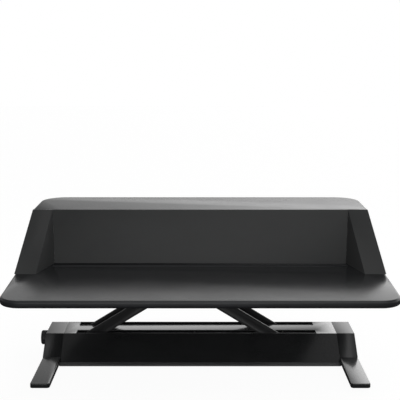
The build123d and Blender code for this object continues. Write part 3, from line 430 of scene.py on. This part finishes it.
def wire(name: str, points: list[Vector], radius: float, sides: int = 8) -> bpy.types.Object:
    """Sweep a round wire along points.

    Args:
        name: Name of the piece.
        points: Centre line.
        radius: Half the wire's thickness.
        sides: Facets round the wire.

    Returns:
        A closed wire as a plain mesh.
    """
    curve = bpy.data.curves.new(name, "CURVE")
    curve.dimensions = "3D"
    curve.bevel_depth = radius
    curve.bevel_resolution = max(0, sides // 4 - 1)
    curve.use_fill_caps = True
    spline = curve.splines.new("POLY")
    spline.points.add(len(points) - 1)
    for spot, point in zip(spline.points, points):
        spot.co = (*point, 1.0)
    holder = bpy.data.objects.new(name, curve)
    bpy.context.scene.collection.objects.link(holder)
    graph = bpy.context.evaluated_depsgraph_get()
    mesh = bpy.data.meshes.new_from_object(holder.evaluated_get(graph))
    bpy.data.objects.remove(holder)
    bpy.data.curves.remove(curve)
    mesh.shade_smooth()
    return new_piece(name, mesh)


def join(name: str, parts: list[bpy.types.Object]) -> bpy.types.Object:
    """Merge several plain meshes into one piece.

    Args:
        name: Name of the piece.
        parts: Objects to merge, which are removed.

    Returns:
        The merged piece.
    """
    work = bmesh.new()
    for part in parts:
        work.from_mesh(part.data)
    mesh = bpy.data.meshes.new(name)
    work.to_mesh(mesh)
    work.free()
    for part in parts:
        bpy.data.objects.remove(part)
    mesh.shade_smooth()
    mesh.set_sharp_from_angle(angle=SHARP_ANGLE)
    return new_piece(name, mesh)


# ---- Geometry Nodes -------------------------------------------------------------------------------
class Repeat:
    """A Geometry Nodes tree with named inputs that makes a repeated or wound piece."""

    def __init__(self, name: str, sizes: dict[str, float]) -> None:
        """Start a tree.

        Args:
            name: Name of the tree.
            sizes: Named inputs and their values.
        """
        self.sizes = sizes
        self.tree = bpy.data.node_groups.new(name, "GeometryNodeTree")
        face = self.tree.interface
        face.new_socket("Geometry", in_out="INPUT", socket_type="NodeSocketGeometry")
        for label in sizes:
            face.new_socket(label, in_out="INPUT", socket_type="NodeSocketFloat")
        face.new_socket("Material", in_out="INPUT", socket_type="NodeSocketMaterial")
        face.new_socket("Pattern", in_out="INPUT", socket_type="NodeSocketObject")
        face.new_socket("Geometry", in_out="OUTPUT", socket_type="NodeSocketGeometry")
        self.given = add(self.tree, "NodeGroupInput").outputs

    def maths(self, operation: str, left: object, right: object) -> bpy.types.NodeSocket:
        """Combine two values or sockets with one arithmetic operation.

        Args:
            operation: Blender's name of the operation.
            left: First value or socket.
            right: Second value or socket.

        Returns:
            The result's socket.
        """
        return add(self.tree, "ShaderNodeMath", {"operation": operation}, {0: left, 1: right}).outputs[0]

    def finish(self, shape: bpy.types.NodeSocket, piece: bpy.types.Object, material: bpy.types.Material,
               pattern: bpy.types.Object | None = None) -> bpy.types.Object:
        """End the tree and run it on a piece.

        Args:
            shape: Socket with the finished geometry.
            piece: Object that the tree works on.
            material: Material of the result.
            pattern: Object that the tree repeats, if any.

        Returns:
            The piece as a plain mesh.
        """
        real = add(self.tree, "GeometryNodeRealizeInstances", inputs={"Geometry": shape})
        coloured = add(self.tree, "GeometryNodeSetMaterial", inputs={
            "Geometry": real.outputs["Geometry"], "Material": self.given["Material"]})
        add(self.tree, "NodeGroupOutput", inputs={"Geometry": coloured.outputs["Geometry"]})
        modifier = piece.modifiers.new("repeat", "NODES")
        modifier.node_group = self.tree
        values: dict[str, object] = {**self.sizes, "Material": material, "Pattern": pattern}
        for item in self.tree.interface.items_tree:
            if item.in_out == "INPUT" and item.name in values and values[item.name] is not None:
                modifier[item.identifier] = values[item.name]
        settle(piece)
        piece.data.shade_smooth()
        piece.data.set_sharp_from_angle(angle=SHARP_ANGLE)
        return piece


def point_cloud(name: str, points: list[Vector]) -> bpy.types.Object:
    """Make an object with one loose vertex for each point.

    Args:
        name: Name of the object.
        points: Places of the vertices.

    Returns:
        The new object.
    """
    mesh = bpy.data.meshes.new(name)
    mesh.from_pydata([tuple(p) for p in points], [], [])
    return new_piece(name, mesh)


def coil(name: str, start: Vector, length: float, radius: float, wire_radius: float, pitch: float,
         material: bpy.types.Material, sides: int = 6) -> bpy.types.Object:
    """Wind a helix along +X.

    Args:
        name: Name of the piece.
        start: Point on the axis where the helix begins.
        length: Length along the axis.
        radius: Radius of the wire's centre line.
        wire_radius: Half the wire's thickness.
        pitch: Distance from turn to turn.
        material: Material of the wire.
        sides: Facets round the wire.

    Returns:
        The wound piece.
    """
    sizes = {"Length": length, "Radius": radius, "Wire Radius": wire_radius, "Pitch": pitch}
    make = Repeat(name + "_tree", sizes)
    turns = make.maths("DIVIDE", make.given["Length"], make.given["Pitch"])
    spiral = add(make.tree, "GeometryNodeCurveSpiral", inputs={
        "Resolution": TURN_STEPS, "Rotations": turns, "Start Radius": make.given["Radius"],
        "End Radius": make.given["Radius"], "Height": make.given["Length"]})
    ring = add(make.tree, "GeometryNodeCurvePrimitiveCircle", inputs={
        "Resolution": sides, "Radius": make.given["Wire Radius"]})
    swept = add(make.tree, "GeometryNodeCurveToMesh", inputs={
        "Curve": spiral.outputs["Curve"], "Profile Curve": ring.outputs["Curve"], "Fill Caps": True})
    placed = add(make.tree, "GeometryNodeTransform", inputs={
        "Geometry": swept.outputs["Mesh"], "Translation": tuple(start), "Rotation": (0, math.pi / 2, 0)})
    return make.finish(placed.outputs["Geometry"], point_cloud(name, [Vector()]), material)


# ---- Sub-assemblies -------------------------------------------------------------------------------
@dataclass
class Palette:
    """All finishes, built once, by the record's slot name."""

    materials: dict[str, bpy.types.Material]

    @classmethod
    def build(cls) -> "Palette":
        """Build every finish."""
        return cls({finish.slot: finish.build() for finish in FINISHES})

    def of_node(self, node: str) -> str:
        """Find the slot that the record names for a node.

        Args:
            node: Name of the frame node.

        Returns:
            The slot's name.
        """
        for entry in frame["record"]["subparts"]:
            if entry["node"] == node:
                return entry["material_slot"]
        raise KeyError(node)

    def dress_frame(self) -> None:
        """Give every frame node its finish."""
        for name, node in frame["nodes"].items():
            dress(node, self.materials[self.of_node(name)])

    def shell(self, node: str, edge_mm: float, segments: int = 2) -> bpy.types.Object:
        """Replace a frame node with a softened copy in the same finish.

        Args:
            node: Name of the frame node.
            edge_mm: Width of the rounding.
            segments: Facets across the rounding.

        Returns:
            The softened copy.
        """
        piece = soften(node, edge_mm, segments)
        slot = self.of_node(node)
        dress(piece, self.materials[slot])
        return piece


@dataclass
class Casework:
    """Worktop, shelf, riser panel and pillars."""

    palette: Palette
    board_edge_mm: float = 0.5
    band_edge_mm: float = 0.35
    sheet_edge_mm: float = 0.3
    panel_edge_mm: float = 0.04
    slot_edge_mm: float = 0.5
    bracket_edge_mm: float = 0.4

    def build(self) -> None:
        """Soften every board and sheet of the platform."""
        for node in ("worktop", "monitor_shelf"):
            self.palette.shell(node, self.board_edge_mm)
        for node in ("worktop_edge", "shelf_edge"):
            # The edge bands' lighter colour is a painted highlight of the worktop's and shelf's rounded rims.
            self.palette.shell(node, self.band_edge_mm)
        self.palette.shell("riser_panel", self.panel_edge_mm)
        for side in ("left", "right"):
            self.palette.shell("pillar_" + side, self.sheet_edge_mm)
        self.palette.shell("device_slot_insert", self.slot_edge_mm)
        for node in ("support_bracket_left", "support_bracket_right", "rear_crossbar", "upper_rails",
                     "upper_pivot_brackets"):
            self.palette.shell(node, self.bracket_edge_mm)


@dataclass
class BaseUnit:
    """Cover, end caps, feet, floor plate and slot liners."""

    palette: Palette
    sheet_edge_mm: float = 0.6
    cap_edge_mm: float = 0.9
    foot_edge_mm: float = 0.5
    plate_edge_mm: float = 0.5
    liner_edge_mm: float = 0.35
    small_edge_mm: float = 0.3

    def build(self) -> None:
        """Soften the base's pressed and moulded pieces."""
        self.palette.shell("base_cover", self.sheet_edge_mm)
        self.palette.shell("base_plate", self.plate_edge_mm)
        for side in ("left", "right"):
            self.palette.shell("end_cap_" + side, self.cap_edge_mm, 3)
            self.palette.shell("foot_" + side, self.foot_edge_mm)
        for end in ("front", "rear"):
            self.palette.shell("slot_trim_" + end, self.liner_edge_mm)
        for node in ("foot_pads", "lower_pivot_bracket", "lower_rails", "screw_bracket"):
            self.palette.shell(node, self.small_edge_mm)


@dataclass
class ScissorLift:
    """Arms, tubes, rollers and the caps on the centre pivot."""

    palette: Palette
    arm_edge_mm: float = 0.4
    roller_edge_mm: float = 0.4
    cap_radius_mm: float = 8.5
    cap_height_mm: float = 2.4

    def build(self) -> None:
        """Soften the arms and rollers and cap the centre pivot."""
        for node in ("inner_arm_front", "inner_arm_rear", "outer_arm_front", "outer_arm_rear",
                     "brake_sector"):
            self.palette.shell(node, self.arm_edge_mm)
        for row in ("lower", "upper"):
            for end in ("front", "rear"):
                self.palette.shell(f"{row}_roller_{end}", self.roller_edge_mm)
        self.cap_centre_pivot()

    def cap_centre_pivot(self) -> None:
        """Press a domed cap on each end of the centre pivot shaft."""
        low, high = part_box("centre_pivot_shaft")
        x = (low.x + high.x) / 2
        z = (low.z + high.z) / 2
        radius = self.cap_radius_mm * MM
        height = self.cap_height_mm * MM
        profile = [(radius * across, height * up) for across, up in PIVOT_DOME]
        for end, y, way in (("front", low.y, -1), ("rear", high.y, 1)):
            cap = lathe("pivot_cap_" + end, profile, 40, Vector((0, way, 0)), Vector((x, y, z)))
            dress(cap, self.palette.materials["trim_plastic"])
            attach(cap, "inner_arms")


@dataclass
class Fasteners:
    """Cross-recessed pan-head screws."""

    palette: Palette
    head_radius_mm: float = 4.0
    head_height_mm: float = 2.2
    recess_mm: float = 2.3
    recess_half_mm: float = 0.45
    recess_depth_mm: float = 1.3

    def head(self) -> bpy.types.Object:
        """Make one screw head that points up from the origin, with a cross cut in it.

        Returns:
            The head, which is the pattern for every screw.
        """
        radius = self.head_radius_mm * MM
        height = self.head_height_mm * MM
        profile = [(radius * across, height * up) for across, up in SCREW_DOME]
        head = lathe("screw_pattern", profile, 20, Vector((0, 0, 1)), Vector())
        bars = []
        for long_x in (True, False):
            reach = self.recess_mm * MM
            wide = self.recess_half_mm * MM
            size = Vector((reach, wide, self.recess_depth_mm * MM) if long_x
                          else (wide, reach, self.recess_depth_mm * MM))
            work = bmesh.new()
            bmesh.ops.create_cube(work, size=2.0)
            bmesh.ops.scale(work, vec=size, verts=work.verts)
            bmesh.ops.translate(work, vec=(0, 0, height), verts=work.verts)
            mesh = bpy.data.meshes.new("bar")
            work.to_mesh(mesh)
            work.free()
            bars.append(new_piece("bar", mesh))
        for bar in bars:
            cut = head.modifiers.new("cross", "BOOLEAN")
            cut.operation = "DIFFERENCE"
            cut.solver = "EXACT"
            cut.object = bar
        settle(head)
        for bar in bars:
            bpy.data.objects.remove(bar)
        return head

    def set_of(self, node: str, body: str, upward: bool, pattern: bpy.types.Object) -> None:
        """Replace a node of plain screws with cut heads at the same places.

        Args:
            node: Frame node of the screws.
            body: Body that the screws ride on.
            upward: True if the heads look up.
            pattern: The head to repeat.
        """
        height = self.head_height_mm * MM
        spots = []
        for low, high in island_boxes(node):
            middle = (low + high) / 2
            spots.append(Vector((middle.x, middle.y, high.z - height if upward else low.z + height)))
        make = Repeat(node + "_tree", {"Flip": 0.0 if upward else math.pi})
        turned = add(make.tree, "FunctionNodeRandomValue", {"data_type": "FLOAT"}, {
            "Min": 0.0, "Max": math.pi, "Seed": SCREW_SEED})
        angle = add(make.tree, "ShaderNodeCombineXYZ", inputs={
            "X": make.given["Flip"], "Z": turned.outputs["Value"]})
        info = add(make.tree, "GeometryNodeObjectInfo", inputs={"Object": make.given["Pattern"]})
        dots = add(make.tree, "GeometryNodeMeshToPoints", inputs={"Mesh": make.given["Geometry"]})
        placed = add(make.tree, "GeometryNodeInstanceOnPoints", inputs={
            "Points": dots.outputs["Points"], "Instance": info.outputs["Geometry"],
            "Rotation": angle.outputs["Vector"]})
        material = self.palette.materials["screw_steel"]
        piece = make.finish(placed.outputs["Instances"], point_cloud(node + "_cut", spots), material, pattern)
        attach(piece, body)
        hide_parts(node)

    def build(self) -> None:
        """Make the platform's and the base's screws."""
        pattern = self.head()
        self.set_of("platform_screws", "platform", False, pattern)
        self.set_of("base_screws", "base", True, pattern)
        bpy.data.objects.remove(pattern)


@dataclass
class TensionGear:
    """Lift springs, tension screw and knob."""

    palette: Palette
    spring_wire_mm: float = 1.3
    spring_pitch_mm: float = 2.9
    thread_pitch_mm: float = 1.5
    eye_mm: float = 3.0
    neck_mm: float = 14.0
    coil_end_mm: float = -13.6
    rod_end_mm: float = -94.6
    rod_mm: float = 0.9
    rod_taper_mm: float = 1.5
    rod_round_mm: float = 0.6
    joint_lap_mm: float = 0.2
    thread_start_mm: float = 8.0
    thread_radius_mm: float = 4.0
    thread_sink_mm: float = 0.1
    thread_ridge_mm: float = 0.35
    knob_edge_mm: float = 0.3

    def eye(self, name: str, end: Vector, way: int) -> bpy.types.Object:
        """Bend the round eye at one end of a spring.

        Args:
            name: Name of the piece.
            end: Middle of the eye.
            way: 1 if the spring runs towards +X from here, otherwise -1.

        Returns:
            The eye with its straight neck.
        """
        radius = self.eye_mm * MM
        arc = [end + Vector((way * radius * math.cos(a), 0, radius * math.sin(a)))
               for a in (2 * math.pi * step / EYE_STEPS for step in range(EYE_STEPS))]
        neck = end + Vector((way * (self.neck_mm + self.joint_lap_mm) * MM, 0, 0))
        return wire(name, [neck, *arc], self.spring_wire_mm * MM / 2)

    def springs(self) -> None:
        """Wind the two lift springs and draw the pull rod that slides inside each of them."""
        material = self.palette.materials["spring_steel"]
        wire_r = self.spring_wire_mm * MM / 2
        coils = []
        rods = []
        inset = (self.neck_mm + self.eye_mm) * MM
        for number, (low, high) in enumerate(island_boxes("extension_springs")):
            middle = Vector((0, (low.y + high.y) / 2, (low.z + high.z) / 2))
            radius = (high.y - low.y) / 2 - wire_r
            start = middle + Vector((low.x + inset, 0, 0))
            coils.append(coil(f"coil_{number}", start, self.coil_end_mm * MM - start.x, radius, wire_r,
                              self.spring_pitch_mm * MM, material))
            left = middle + Vector((low.x + self.eye_mm * MM, 0, 0))
            coils.append(self.eye(f"left_eye_{number}", left, 1))
            rise = start + Vector((self.joint_lap_mm * MM, 0, 0))
            coils.append(wire(f"left_turn_{number}", [rise, rise + Vector((0, 0, radius))], wire_r))
            right = middle + Vector((high.x - self.eye_mm * MM, 0, 0))
            rods.append(self.eye(f"right_eye_{number}", right, -1))
            foot = middle + Vector((self.rod_end_mm * MM, 0, 0))
            length = right.x - inset - foot.x
            thick = self.rod_mm * MM
            tip = length + self.rod_taper_mm * MM
            profile = [(0, 0), (thick * 0.7, 0), (thick, self.rod_round_mm * MM), (thick, length),
                       (wire_r, tip), (0, tip)]
            rods.append(lathe(f"rod_{number}", profile, 16, Vector((1, 0, 0)), foot))
        for name, parts, body in (("lift_springs", coils, "spring_anchor"),
                                  ("spring_pull_rods", rods, "lower_carriage")):
            piece = join(name, parts)
            dress(piece, material)
            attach(piece, body)
            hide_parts("extension_springs")

    def thread(self) -> None:
        """Cut a thread on the tension screw's inner stretch."""
        low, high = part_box("lead_screw")
        nut_low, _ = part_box("spring_anchor")
        axis_y = (low.y + high.y) / 2
        axis_z = (low.z + high.z) / 2
        ridge = self.thread_ridge_mm * MM
        start = Vector((nut_low.x - self.thread_start_mm * MM, axis_y, axis_z))
        radius = self.thread_radius_mm * MM - self.thread_sink_mm * MM
        piece = coil("screw_thread", start, high.x - start.x, radius, ridge,
                     self.thread_pitch_mm * MM, self.palette.materials["shaft_steel"], 4)
        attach(piece, "tension_screw")

    def build(self) -> None:
        """Make springs and thread, and soften the knob."""
        self.springs()
        self.thread()
        self.palette.shell("tension_knob", self.knob_edge_mm)


@dataclass
class Lock:
    """Squeeze paddles with grip ribs."""

    palette: Palette
    ribs: int = 7
    rib_radius_mm: float = 0.9
    rib_share: float = 0.72
    first_rib: float = 0.5
    rib_row: float = 0.45
    hub_mm: float = 7.0
    tip_in_mm: float = 6.0
    tip_up_mm: float = 3.5
    under_mm: float = 3.35
    edge_mm: float = 0.6

    def rib_rows(self) -> None:
        """Mould a row of ribs under each paddle."""
        for side in ("left", "right"):
            node = "paddle_" + side
            low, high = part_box(node)
            hub = Vector(((low.x + high.x) / 2, high.y - self.hub_mm * MM, high.z - self.hub_mm * MM))
            tip = Vector((hub.x, low.y + self.tip_in_mm * MM, low.z + self.tip_up_mm * MM))
            along = (tip - hub).normalized()
            down = Vector((0, along.z, -along.y))
            if down.z > 0:
                down = -down
            shares = [self.first_rib + self.rib_row * step / (self.ribs - 1) for step in range(self.ribs)]
            spots = [hub + along * ((tip - hub).length * share) + down * (self.under_mm * MM)
                     for share in shares]
            sizes = {"Length": (high.x - low.x) * self.rib_share, "Radius": self.rib_radius_mm * MM}
            make = Repeat(node + "_ribs_tree", sizes)
            bar = add(make.tree, "GeometryNodeMeshCylinder", inputs={
                "Vertices": 12, "Radius": make.given["Radius"], "Depth": make.given["Length"]})
            dots = add(make.tree, "GeometryNodeMeshToPoints", inputs={"Mesh": make.given["Geometry"]})
            placed = add(make.tree, "GeometryNodeInstanceOnPoints", inputs={
                "Points": dots.outputs["Points"], "Instance": bar.outputs["Mesh"],
                "Rotation": (0, math.pi / 2, 0)})
            piece = make.finish(placed.outputs["Instances"], point_cloud(node + "_ribs", spots),
                                self.palette.materials["trim_plastic"])
            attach(piece, "release_lever")

    def build(self) -> None:
        """Soften the paddles and rib them."""
        for node in ("paddle_left", "paddle_right", "brake_shoe"):
            self.palette.shell(node, self.edge_mm)
        self.rib_rows()


# ---- Studio ---------------------------------------------------------------------------------------
@dataclass(frozen=True)
class Lamp:
    """One square soft light: its place, the point that it faces, its side in metres and its watts."""

    name: str
    place: tuple[float, float, float]
    aim: tuple[float, float, float]
    size: float
    watts: float

    def build(self) -> None:
        """Hang the light and turn it to its aim."""
        data = bpy.data.lights.new(self.name, "AREA")
        data.size = self.size
        data.energy = self.watts
        lamp = bpy.data.objects.new(self.name, data)
        lamp.location = self.place
        lamp.rotation_euler = (Vector(self.aim) - Vector(self.place)).to_track_quat("-Z", "Y").to_euler()
        bpy.context.scene.collection.objects.link(lamp)


OVERHEAD = Lamp("overhead", (0.3, -0.75, 2.6), (0, -0.1, 0.2), 2.6, 20)
FRONT = Lamp("front", (-0.3, -3.6, 0.7), (0, 0, 0.15), 1.8, 18)


@dataclass
class Studio:
    """Pale floor, white surroundings, soft lights and the camera."""

    focal_px: float = 920.5
    frame_px: float = 400.0
    sensor_mm: float = 36.0
    pitch_deg: float = 9.86
    back_mm: float = 1780.5
    above_worktop_mm: float = 515.6
    aside_mm: float = -0.6
    sweep_level: float = 0.88
    front_level: float = 0.16
    left_share: float = 0.25
    room_level: float = 0.12
    floor_half: float = 9.0
    floor_glow: float = 0.95
    floor_roughness: float = 0.9
    floor_specular: float = 0.1
    behind_range: tuple[float, float] = (-0.15, 0.65)
    side_range: tuple[float, float] = (-0.45, 0.45)
    band_range: tuple[float, float] = (0.33, 0.68)
    band_end: float = 0.04
    view_end: float = 100.0

    def camera(self) -> None:
        """Set the camera in front of and above the worktop, tipped down a little."""
        data = bpy.data.cameras.new("camera")
        data.sensor_width = self.sensor_mm
        data.lens = self.focal_px / self.frame_px * self.sensor_mm
        data.clip_end = self.view_end
        camera = bpy.data.objects.new("camera", data)
        low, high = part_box("worktop")
        edge_low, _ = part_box("worktop_edge")
        camera.location = (self.aside_mm * MM, edge_low.y - self.back_mm * MM,
                           high.z + self.above_worktop_mm * MM)
        camera.rotation_euler = (math.radians(90 - self.pitch_deg), 0, 0)
        bpy.context.scene.collection.objects.link(camera)
        bpy.context.scene.camera = camera

    def surroundings(self) -> None:
        """White paper sweep: a bright low band behind, brighter to the right, and a dim room elsewhere."""
        world = bpy.data.worlds.new("studio")
        world.use_nodes = True
        tree = world.node_tree
        way = add(tree, "ShaderNodeTexCoord").outputs["Generated"]
        parts = add(tree, "ShaderNodeSeparateXYZ", inputs={"Vector": way}).outputs
        behind = add(tree, "ShaderNodeMapRange", inputs={
            "Value": parts["Y"], "From Min": self.behind_range[0],
            "From Max": self.behind_range[1], "To Min": self.front_level,
            "To Max": self.sweep_level}).outputs["Result"]
        sideways = add(tree, "ShaderNodeMapRange", inputs={
            "Value": parts["X"], "From Min": self.side_range[0],
            "From Max": self.side_range[1], "To Min": self.left_share,
            "To Max": 2 - self.left_share}).outputs["Result"]
        low = add(tree, "ShaderNodeMapRange", {"interpolation_type": "SMOOTHSTEP"}, {
            "Value": parts["Z"], "From Min": self.band_range[0], "From Max": self.band_range[1],
            "To Min": 1.0, "To Max": self.band_end}).outputs["Result"]
        band = add(tree, "ShaderNodeMath", {"operation": "MULTIPLY"}, {0: behind, 1: sideways}).outputs[0]
        sweep = add(tree, "ShaderNodeMath", {"operation": "MULTIPLY"}, {0: band, 1: low}).outputs[0]
        level = add(tree, "ShaderNodeMath", {"operation": "ADD"}, {0: sweep, 1: self.room_level}).outputs[0]
        seen = add(tree, "ShaderNodeLightPath").outputs["Is Camera Ray"]
        blend = add(tree, "ShaderNodeMix", {"data_type": "FLOAT"}, {"Factor": seen, 2: level, 3: 1.0})
        sheet = tree.nodes["Background"]
        sheet.inputs["Color"].default_value = linear("ffffff")
        tree.links.new(blend.outputs[0], sheet.inputs["Strength"])
        bpy.context.scene.world = world

    def floor(self) -> None:
        """Lay a plain pale floor under the feet, lit to the white of the sweep."""
        half = self.floor_half
        mesh = bpy.data.meshes.new("floor")
        mesh.from_pydata([(-half, -half, 0), (half, -half, 0), (half, half, 0), (-half, half, 0)], [],
                         [(0, 1, 2, 3)])
        floor = new_piece("floor", mesh)
        material = bpy.data.materials.new("floor_paper")
        material.use_nodes = True
        tree = material.node_tree
        shader = tree.nodes["Principled BSDF"]
        shader.inputs["Base Color"].default_value = linear("5a5a5a")
        shader.inputs["Roughness"].default_value = self.floor_roughness
        shader.inputs["Specular IOR Level"].default_value = self.floor_specular
        shader.inputs["Emission Color"].default_value = linear("ffffff")
        seen = add(tree, "ShaderNodeLightPath").outputs["Is Camera Ray"]
        glow = add(tree, "ShaderNodeMath", {"operation": "MULTIPLY"}, {0: seen, 1: self.floor_glow})
        tree.links.new(glow.outputs[0], shader.inputs["Emission Strength"])
        dress(floor, material)

    def build(self) -> None:
        """Set up the whole studio."""
        self.camera()
        self.surroundings()
        self.floor()
        for lamp in (OVERHEAD, FRONT):
            lamp.build()
        bpy.context.scene.view_settings.view_transform = "Standard"


def main() -> None:
    """Build the looks in order."""
    logging.basicConfig(level=logging.INFO, format="%(name)s: %(message)s")
    studio = Studio()
    studio.build()
    palette = Palette.build()
    palette.dress_frame()
    for part in (Casework(palette), BaseUnit(palette), ScissorLift(palette), Fasteners(palette),
                 TensionGear(palette), Lock(palette)):
        known = set(bpy.data.objects)
        part.build()
        for piece in sorted(set(bpy.data.objects) - known, key=lambda made: made.name):
            LOG.info("%s: %s, %d faces", type(part).__name__, piece.name, len(piece.data.polygons))
    for name, node in frame["nodes"].items():
        if not node.hide_render:
            LOG.info("kept from the frame: %s", name)


if __name__ == "__main__":
    main()
